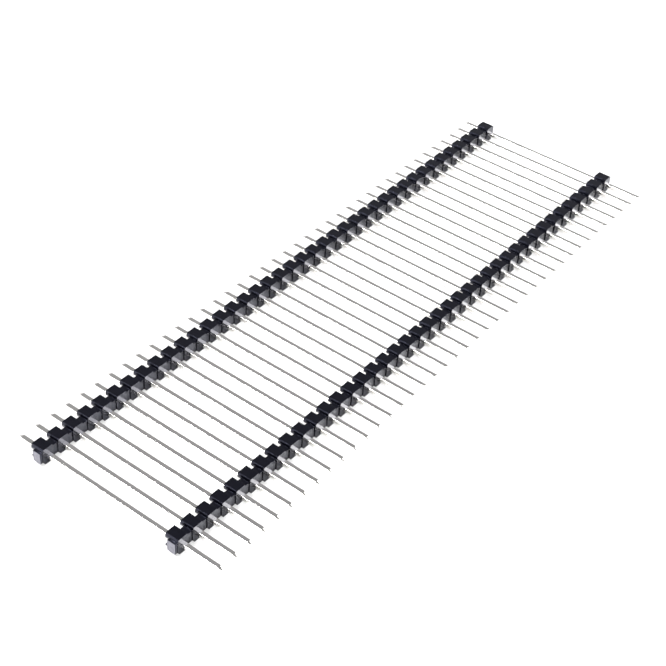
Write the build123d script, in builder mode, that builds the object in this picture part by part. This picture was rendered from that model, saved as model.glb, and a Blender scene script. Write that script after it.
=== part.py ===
from build123d import *
import os

# Double-insulator pin header strip, lying flat on the undersides of its two insulator bars.
# +X runs along the pins towards the mating ends, +Y along the strip, +Z up.
# Units are millimetres. The origin is under the middle of the strip, on the resting plane.

# Strip
pin_count = 40
pitch = 2.54

# Pins: square wire with a four-sided coined point at both ends
pin_side = 0.64
pin_length = 33.3
point_length = 0.5
point_side = 0.3

# Insulator bars: a row of blocks, one for each pin, joined by thin break-off webs
bar_height = 2.5
bar_thickness = 2.0
block_width = 1.78
top_chamfer_width = 0.16
top_chamfer_height = 0.36
bottom_chamfer_width = 0.3
bottom_chamfer_height = 0.42
web_height = 1.7
web_setback = 0.12
channel_depth = 0.65
channel_height = 1.1

# Where the bars sit on the pins
tail_length = 3.0
bar_gap = 20.2

# The pins are pressed in, so the holes match the wire
press_clearance = 0.0

# Derived sizes
strip_length = pin_count * pitch
axis_z = bar_height / 2
pin_start = -pin_length / 2
solder_bar_x = pin_start + tail_length
mating_bar_x = solder_bar_x + bar_thickness + bar_gap
hole_side = pin_side + 2 * press_clearance
web_thickness = bar_thickness - channel_depth - web_setback
pin_y = [pitch * (i - (pin_count - 1) / 2) for i in range(pin_count)]
pin_places = [(y, axis_z) for y in pin_y]

# Outline of one block seen along its pin, centred on the pin: narrow chamfers on top, wider ones below
half_width = block_width / 2
half_height = bar_height / 2
block_outline = [
    (-half_width, -half_height + bottom_chamfer_height),
    (-half_width + bottom_chamfer_width, -half_height),
    (half_width - bottom_chamfer_width, -half_height),
    (half_width, -half_height + bottom_chamfer_height),
    (half_width, half_height - top_chamfer_height),
    (half_width - top_chamfer_width, half_height),
    (-half_width + top_chamfer_width, half_height),
    (-half_width, half_height - top_chamfer_height),
]

os.makedirs("parts", exist_ok=True)

# Insulator bars: the same moulding twice, first at the solder tails, then at the mating ends
for name, bar_x in (("solder_insulator", solder_bar_x), ("mating_insulator", mating_bar_x)):
    with BuildPart() as insulator:
        # Row of blocks
        with BuildSketch(Plane.YZ.offset(bar_x)):
            with Locations(*pin_places):
                Polygon(*block_outline, align=None)
        extrude(amount=bar_thickness)
        # Channel along the back of the row, which leaves feet above and below the pins
        with BuildSketch(Plane.YZ.offset(bar_x)):
            with Locations((0, axis_z)):
                Rectangle(strip_length, channel_height)
        extrude(amount=channel_depth, mode=Mode.SUBTRACT)
        # Web that joins the blocks and ends half a pitch beyond the outer pins
        with BuildSketch(Plane.YZ.offset(bar_x + channel_depth)):
            with Locations((0, axis_z)):
                Rectangle(strip_length, web_height)
        extrude(amount=web_thickness)
        # Square holes for the pins
        with BuildSketch(Plane.YZ.offset(bar_x)):
            with Locations(*pin_places):
                Rectangle(hole_side, hole_side)
        extrude(amount=bar_thickness, mode=Mode.SUBTRACT)
    insulator.part.label = name
    export_step(insulator.part, f"parts/{name}.step")

# Pins, numbered from the -Y end of the strip
for number, y in enumerate(pin_y, start=1):
    with BuildPart() as pin:
        # Straight wire between the two points
        with BuildSketch(Plane.YZ.offset(pin_start + point_length)):
            with Locations((y, axis_z)):
                Rectangle(pin_side, pin_side)
        extrude(amount=pin_length - 2 * point_length)
        # Tapered point of the solder tail
        with BuildSketch(Plane.YZ.offset(pin_start)):
            with Locations((y, axis_z)):
                Rectangle(point_side, point_side)
        with BuildSketch(Plane.YZ.offset(pin_start + point_length)):
            with Locations((y, axis_z)):
                Rectangle(pin_side, pin_side)
        loft()
        # Tapered point of the mating end
        with BuildSketch(Plane.YZ.offset(pin_start + pin_length - point_length)):
            with Locations((y, axis_z)):
                Rectangle(pin_side, pin_side)
        with BuildSketch(Plane.YZ.offset(pin_start + pin_length)):
            with Locations((y, axis_z)):
                Rectangle(point_side, point_side)
        loft()
    name = f"pin_{number:02d}"
    pin.part.label = name
    export_step(pin.part, f"parts/{name}.step")
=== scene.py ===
"""Pin header strip: the looks of its two moulded bars and forty plated pins, on a plain white table."""
import math

import bmesh
import bpy
import numpy as np
from mathutils import Matrix, Vector


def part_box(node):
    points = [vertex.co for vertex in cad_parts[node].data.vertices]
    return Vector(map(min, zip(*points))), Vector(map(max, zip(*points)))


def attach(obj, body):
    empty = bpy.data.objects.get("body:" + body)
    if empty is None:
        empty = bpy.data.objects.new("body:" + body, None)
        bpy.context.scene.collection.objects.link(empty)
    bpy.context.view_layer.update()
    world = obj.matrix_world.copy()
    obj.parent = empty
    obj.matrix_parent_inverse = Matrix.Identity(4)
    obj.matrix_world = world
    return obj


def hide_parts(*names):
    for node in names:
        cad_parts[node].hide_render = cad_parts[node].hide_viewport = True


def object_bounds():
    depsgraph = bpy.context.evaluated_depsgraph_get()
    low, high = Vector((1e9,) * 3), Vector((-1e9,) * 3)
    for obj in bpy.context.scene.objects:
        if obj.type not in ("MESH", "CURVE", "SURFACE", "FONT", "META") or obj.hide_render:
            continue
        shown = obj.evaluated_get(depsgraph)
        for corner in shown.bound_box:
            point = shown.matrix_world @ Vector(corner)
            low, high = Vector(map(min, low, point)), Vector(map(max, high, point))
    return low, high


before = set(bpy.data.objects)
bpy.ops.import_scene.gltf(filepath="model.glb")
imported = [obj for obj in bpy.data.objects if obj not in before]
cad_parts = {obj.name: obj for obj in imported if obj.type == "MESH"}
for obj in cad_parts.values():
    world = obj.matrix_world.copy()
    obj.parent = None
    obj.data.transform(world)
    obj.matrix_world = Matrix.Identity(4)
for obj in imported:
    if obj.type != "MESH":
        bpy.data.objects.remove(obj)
cad_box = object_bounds()

MM = 0.001
LOW, HIGH = (Vector(corner) for corner in cad_box)
PIN_NODES = sorted(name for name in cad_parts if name.startswith("pin_"))
BAR_NODES = ("solder_insulator", "mating_insulator")


# Camera -----------------------------------------------------------------------------------------

def add_camera():
    """Sets the camera by azimuth from -Y towards +X, elevation, distance from its aim, and a small roll."""
    middle = (LOW + HIGH) / 2
    aim = middle + Vector((0.3 * MM, -8.2 * MM, 0))
    azimuth, elevation, roll = (math.radians(angle) for angle in (35.3, 40.0, 4.0))
    distance = 193.8 * MM
    backward = Vector((
        math.sin(azimuth) * math.cos(elevation),
        -math.cos(azimuth) * math.cos(elevation),
        math.sin(elevation),
    ))
    level = Vector((math.cos(azimuth), math.sin(azimuth), 0))
    right = level * math.cos(roll) + backward.cross(level) * math.sin(roll)
    up = backward.cross(right)
    data = bpy.data.cameras.new("camera")
    data.lens = 76.67
    data.clip_start = 0.01
    camera = bpy.data.objects.new("camera", data)
    turn = Matrix((right, up, backward)).transposed().to_4x4()
    camera.matrix_world = Matrix.Translation(aim + backward * distance) @ turn
    bpy.context.scene.collection.objects.link(camera)
    bpy.context.scene.camera = camera


# Materials --------------------------------------------------------------------------------------

def linear(hex_colour):
    """sRGB hex to linear RGBA: a channel is divided by 12.92 near black, else raised to the power 2.4."""
    channels = [int(hex_colour[i:i + 2], 16) / 255 for i in (1, 3, 5)]
    return [c / 12.92 if c <= 0.04045 else ((c + 0.055) / 1.055) ** 2.4 for c in channels] + [1.0]


def node(tree, kind, settings=None, links=None, **properties):
    """Adds one node: properties on the node, settings on its input sockets, links from output sockets."""
    new = tree.nodes.new(kind)
    for name, value in properties.items():
        setattr(new, name, value)
    for socket, value in (settings or {}).items():
        new.inputs[socket].default_value = value
    for socket, source in (links or {}).items():
        tree.links.new(source, new.inputs[socket])
    return new


def empty_material(name):
    """A material with no nodes yet, and its node tree."""
    material = bpy.data.materials.new(name)
    material.use_nodes = True
    material.node_tree.nodes.clear()
    return material, material.node_tree


def moulded_pbt():
    """Black glass-filled PBT, injection moulded: near-black and satin, with a fine mould grain and faint flow
    mottling. The snapped end faces of the web are painted paler and dull: partly the real whitening where the
    break tears the glass fibres out, and partly painted light standing in for the light those end faces
    catch."""
    material, tree = empty_material("black_glass_filled_pbt_moulded")
    place = node(tree, "ShaderNodeTexCoord").outputs["Object"]
    # Mould grain of 0.12 mm and flow mottling of 1.2 mm
    grain = node(tree, "ShaderNodeTexNoise", {"Scale": 1 / (0.12 * MM), "Detail": 3}, {"Vector": place})
    mottle = node(tree, "ShaderNodeTexNoise", {"Scale": 1 / (1.2 * MM), "Detail": 3}, {"Vector": place})
    # The snapped ends are the faces in the strip's two end planes
    axes = node(tree, "ShaderNodeSeparateXYZ", {}, {"Vector": place})
    from_middle = node(tree, "ShaderNodeMath", {}, {0: axes.outputs["Y"]}, operation="ABSOLUTE")
    snapped = node(tree, "ShaderNodeMath", {1: HIGH.y - 0.02 * MM}, {0: from_middle.outputs[0]},
                   operation="GREATER_THAN").outputs[0]
    torn = node(tree, "ShaderNodeTexNoise", {"Scale": 1 / (0.25 * MM), "Detail": 4}, {"Vector": place})
    body = node(tree, "ShaderNodeValToRGB", {}, {0: mottle.outputs["Fac"]})
    body.color_ramp.elements[0].color = linear("#010103")
    body.color_ramp.elements[1].color = linear("#040408")
    # Paler end-face colour: partly the real whitening of a snapped break, partly painted light on the end
    # faces
    pale_break_and_painted_light = node(tree, "ShaderNodeValToRGB", {}, {0: torn.outputs["Fac"]})
    pale_break_and_painted_light.color_ramp.elements[0].color = linear("#48474d")
    pale_break_and_painted_light.color_ramp.elements[1].color = linear("#78777e")
    # A colour mix has its factor on socket 0 and its two colours on sockets 6 and 7
    colour = node(tree, "ShaderNodeMix", {},
                  {0: snapped, 6: body.outputs[0], 7: pale_break_and_painted_light.outputs[0]}, data_type="RGBA")
    roughness = node(tree, "ShaderNodeMapRange", {"To Min": 0.20, "To Max": 0.28}, {0: mottle.outputs["Fac"]})
    relief = node(tree, "ShaderNodeBump", {"Strength": 0.12, "Distance": 0.02 * MM},
                  {"Height": grain.outputs["Fac"]})
    shader = node(tree, "ShaderNodeBsdfPrincipled", {"IOR": 1.4, "Specular Tint": linear("#d8dcff")},
                  {"Base Color": colour.outputs[2], "Roughness": roughness.outputs[0],
                   "Normal": relief.outputs[0]})
    node(tree, "ShaderNodeOutputMaterial", {}, {"Surface": shader.outputs[0]})
    return material


def tin_plate():
    """Bright tin plated on drawn square brass wire: a silvery mirror with a faint haze, and drawing lines
    that run along the wire."""
    material, tree = empty_material("bright_tin_plated_on_drawn_brass")
    place = node(tree, "ShaderNodeTexCoord").outputs["Object"]
    # Drawing lines 0.05 mm apart across the wire and about 3 mm long
    lines = node(tree, "ShaderNodeMapping", {"Scale": (1 / 60, 1, 1)}, {"Vector": place})
    drawn = node(tree, "ShaderNodeTexNoise", {"Scale": 1 / (0.05 * MM), "Detail": 2},
                 {"Vector": lines.outputs[0]})
    haze = node(tree, "ShaderNodeTexNoise", {"Scale": 1 / (0.8 * MM), "Detail": 3}, {"Vector": place})
    colour = node(tree, "ShaderNodeValToRGB", {}, {0: haze.outputs["Fac"]})
    colour.color_ramp.elements[0].color = linear("#e9e7e3")
    colour.color_ramp.elements[1].color = linear("#f4f2ef")
    roughness = node(tree, "ShaderNodeMapRange", {"To Min": 0.10, "To Max": 0.20}, {0: haze.outputs["Fac"]})
    relief = node(tree, "ShaderNodeBump", {"Strength": 0.02, "Distance": 0.01 * MM},
                  {"Height": drawn.outputs["Fac"]})
    shader = node(tree, "ShaderNodeBsdfPrincipled", {"Metallic": 1.0},
                  {"Base Color": colour.outputs[0], "Roughness": roughness.outputs[0],
                   "Normal": relief.outputs[0]})
    node(tree, "ShaderNodeOutputMaterial", {}, {"Surface": shader.outputs[0]})
    return material


def white_table():
    """Matt white laminate. The camera sees it partly as plain white, which thins the object's shadow."""
    material, tree = empty_material("matt_white_laminate")
    rays = node(tree, "ShaderNodeLightPath")
    share = node(tree, "ShaderNodeMath", {1: 0.6}, {0: rays.outputs["Is Camera Ray"]}, operation="MULTIPLY")
    matt = node(tree, "ShaderNodeBsdfDiffuse", {"Color": linear("#f6f6f6"), "Roughness": 0.3})
    white = node(tree, "ShaderNodeEmission", {"Color": linear("#ffffff"), "Strength": 1.0})
    both = node(tree, "ShaderNodeMixShader", {},
                {0: share.outputs[0], 1: matt.outputs[0], 2: white.outputs[0]})
    node(tree, "ShaderNodeOutputMaterial", {}, {"Surface": both.outputs[0]})
    return material


# Pieces -----------------------------------------------------------------------------------------

def new_piece(name, mesh, material, replaced_node):
    """Makes a piece from its mesh, with one material, in place of one CAD node."""
    mesh.materials.clear()
    mesh.materials.append(material)
    piece = bpy.data.objects.new(name, mesh)
    bpy.context.scene.collection.objects.link(piece)
    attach(piece, "root")
    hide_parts(replaced_node)
    return piece


def level_normals(piece):
    """Shades flat faces flat and leaves the roundings between them smooth."""
    piece.data.shade_smooth()
    piece.modifiers.new("level_normals", "WEIGHTED_NORMAL")


def rounded_square(half_side, radius, steps=4):
    """Square ring: each corner is a quarter circle about a centre one radius in from both sides."""
    quarter = np.linspace(0, math.pi / 2, steps)
    angles = np.concatenate([quarter + k * math.pi / 2 for k in range(4)])
    corner = np.repeat(np.arange(4) * math.pi / 2 + math.pi / 4, steps)
    inset = (half_side - radius) * math.sqrt(2)
    return np.stack([
        inset * np.cos(corner) + radius * np.cos(angles),
        inset * np.sin(corner) + radius * np.sin(angles),
    ], axis=1)


def pin_mesh(name, low, high):
    """Wire carried along X: a rounded square section that narrows in a straight four-sided taper to a small
    rounded tip at each end. Rings are joined by quads and each tip is closed by a fan about one point."""
    half_side = (high.z - low.z) / 2
    taper = 0.5 * MM
    tip_half = 0.15 * MM
    tip_round = 0.05 * MM
    shoulder = 0.03 * MM
    shoulder_drop = 0.012 * MM
    corner = 0.055 * MM
    # Distance in from the tip, half side and corner radius of each ring on one end
    end_rings = [
        (0.0, tip_half - tip_round, 0.03 * MM),
        (0.3 * tip_round, tip_half - 0.3 * tip_round, 0.045 * MM),
        (tip_round, tip_half, 0.05 * MM),
        (taper - shoulder, half_side - shoulder_drop, corner),
        (taper + shoulder, half_side, corner),
    ]
    middle = np.linspace(0, 1, 12)[1:-1]
    start, length = low.x, high.x - low.x
    inner = taper + shoulder
    stations = [(start + depth, half, radius) for depth, half, radius in end_rings]
    stations += [(start + inner + t * (length - 2 * inner), half_side, corner) for t in middle]
    stations += [(start + length - depth, half, radius) for depth, half, radius in reversed(end_rings)]
    centre = np.array([(low.y + high.y) / 2, (low.z + high.z) / 2])
    rings = np.stack([rounded_square(half, radius) for _, half, radius in stations])
    count = rings.shape[1]
    places = np.repeat(np.array([x for x, _, _ in stations])[:, None, None], count, axis=1)
    grid = np.concatenate([places, rings + centre], axis=2).reshape(-1, 3)
    poles = np.array([[low.x, *centre], [high.x, *centre]])
    corners = np.arange(len(stations) * count).reshape(len(stations), count)
    after = np.roll(corners, -1, axis=1)
    quads = np.stack([corners[:-1], after[:-1], after[1:], corners[1:]], axis=2).reshape(-1, 4)
    first_pole, last_pole = len(grid), len(grid) + 1
    fans = [(first_pole, b, a) for a, b in zip(corners[0], after[0])]
    fans += [(last_pole, a, b) for a, b in zip(corners[-1], after[-1])]
    mesh = bpy.data.meshes.new(name)
    mesh.from_pydata(np.concatenate([grid, poles]).tolist(), [], quads.tolist() + fans)
    return mesh


def add_pins(material):
    """Forty plated pins, each in place of its CAD node."""
    for node_name in PIN_NODES:
        name = node_name.replace("pin_", "plated_pin_")
        piece = new_piece(name, pin_mesh(name, *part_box(node_name)), material, node_name)
        level_normals(piece)


def bar_mesh(name, node_name):
    """Copy of the CAD bar with its loose triangles merged and flat neighbours joined, ready for rounding."""
    solid = bmesh.new()
    solid.from_mesh(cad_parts[node_name].data)
    bmesh.ops.remove_doubles(solid, verts=solid.verts, dist=0.002 * MM)
    bmesh.ops.dissolve_limit(solid, angle_limit=math.radians(1), verts=solid.verts, edges=solid.edges)
    mesh = bpy.data.meshes.new(name)
    solid.to_mesh(mesh)
    solid.free()
    return mesh


def add_bars(material):
    """Both moulded bars, with every sharp edge rounded as the mould leaves it."""
    for node_name in BAR_NODES:
        name = node_name.replace("insulator", "bar")
        piece = new_piece(name, bar_mesh(name, node_name), material, node_name)
        rounding = piece.modifiers.new("mould_rounding", "BEVEL")
        rounding.width = 0.05 * MM
        rounding.segments = 2
        rounding.limit_method = "ANGLE"
        rounding.angle_limit = math.radians(30)
        level_normals(piece)


# Table and light --------------------------------------------------------------------------------

def add_table(material):
    """Plain table, 4 m square, under the strip."""
    half = 2.0
    mesh = bpy.data.meshes.new("table")
    corners = [(-half, -half, 0), (half, -half, 0), (half, half, 0), (-half, half, 0)]
    mesh.from_pydata(corners, [], [(0, 1, 2, 3)])
    mesh.materials.append(material)
    table = bpy.data.objects.new("table", mesh)
    bpy.context.scene.collection.objects.link(table)


def add_softbox(name, place, size, watts):
    """Square soft light at place, turned to face the strip."""
    data = bpy.data.lights.new(name, "AREA")
    data.size = size
    data.energy = watts
    light = bpy.data.objects.new(name, data)
    light.location = place
    light.rotation_euler = (-Vector(place)).to_track_quat("-Z", "Y").to_euler()
    bpy.context.scene.collection.objects.link(light)


def add_world():
    """Studio surroundings: grey overhead, which the upper faces mirror, and lighter at the horizon. The ramp
    runs on the height of the direction, 0 at the horizon and 1 overhead. The camera itself sees white."""
    world = bpy.data.worlds.new("studio")
    bpy.context.scene.world = world
    world.use_nodes = True
    tree = world.node_tree
    tree.nodes.clear()
    direction = node(tree, "ShaderNodeTexCoord").outputs["Generated"]
    height = node(tree, "ShaderNodeSeparateXYZ", {}, {"Vector": direction}).outputs["Z"]
    sky = node(tree, "ShaderNodeValToRGB", {}, {0: height})
    ramp = sky.color_ramp.elements
    ramp[0].color = (0.75, 0.75, 0.765, 1)
    ramp[1].color = (0.28, 0.28, 0.285, 1)
    for position, level in ((0.36, 0.56), (0.54, 0.45), (0.70, 0.35)):
        stop = ramp.new(position)
        stop.color = (level, level, level * 1.02, 1)
    rays = node(tree, "ShaderNodeLightPath")
    seen = node(tree, "ShaderNodeMix", {7: linear("#ffffff")},
                {0: rays.outputs["Is Camera Ray"], 6: sky.outputs[0]}, data_type="RGBA")
    background = node(tree, "ShaderNodeBackground", {"Strength": 1.0}, {"Color": seen.outputs[2]})
    node(tree, "ShaderNodeOutputWorld", {}, {"Surface": background.outputs[0]})


def add_lights():
    """Three softboxes: one beyond the strip, one low on the near side and a strong one high on the left."""
    add_softbox("softbox_beyond", (0.31, 0.44, 0.45), 0.45, 6.0)
    add_softbox("softbox_near", (-0.38, -0.80, 0.16), 0.4, 1.3)
    add_softbox("softbox_high", (-0.28, -0.34, 0.78), 0.45, 19.0)


add_camera()
add_pins(tin_plate())
add_bars(moulded_pbt())
add_table(white_table())
add_world()
add_lights()
bpy.context.scene.view_settings.view_transform = "Standard"
